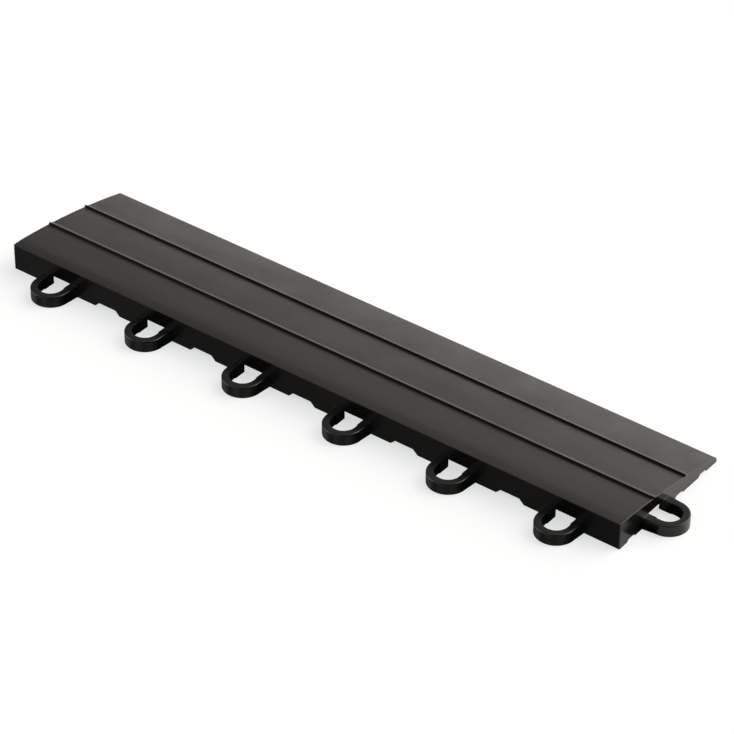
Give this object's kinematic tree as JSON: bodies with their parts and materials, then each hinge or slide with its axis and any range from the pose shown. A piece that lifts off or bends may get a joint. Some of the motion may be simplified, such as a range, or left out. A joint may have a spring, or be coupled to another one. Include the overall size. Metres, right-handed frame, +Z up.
{
  "type": "floor tile edge ramp",
  "caption": "Wedge-shaped plastic ramp strip that finishes the edge of an interlocking tile floor, with grip ridges on top and open connector loops along its tall edge and one end.",
  "frame": {"origin": "centre of the whole footprint, loops included, at floor level", "axes": "+X along the ramp towards the end loop, +Y from the tall edge to the thin edge, +Z up"},
  "size_m": [0.3192, 0.0828, 0.0121],
  "materials": {
    "black_plastic": "satin moulded polypropylene, smooth top, fine grain on the walls"
  },
  "bodies": {
    "root": {"deck": "black_plastic", "grip_ridge_upper": "black_plastic", "grip_ridge_lower": "black_plastic", "tall_wall": "black_plastic", "toe_lip": "black_plastic", "right_end_wall": "black_plastic", "left_end_wall": "black_plastic", "edge_loop_1": "black_plastic", "edge_loop_2": "black_plastic", "edge_loop_3": "black_plastic", "edge_loop_4": "black_plastic", "edge_loop_5": "black_plastic", "edge_loop_6": "black_plastic", "end_loop": "black_plastic", "long_rib_1": "black_plastic", "long_rib_2": "black_plastic", "long_rib_3": "black_plastic", "cross_ribs": "black_plastic", "peg_pocket": "black_plastic", "lock_peg": "black_plastic"}
  },
  "joints": []
}
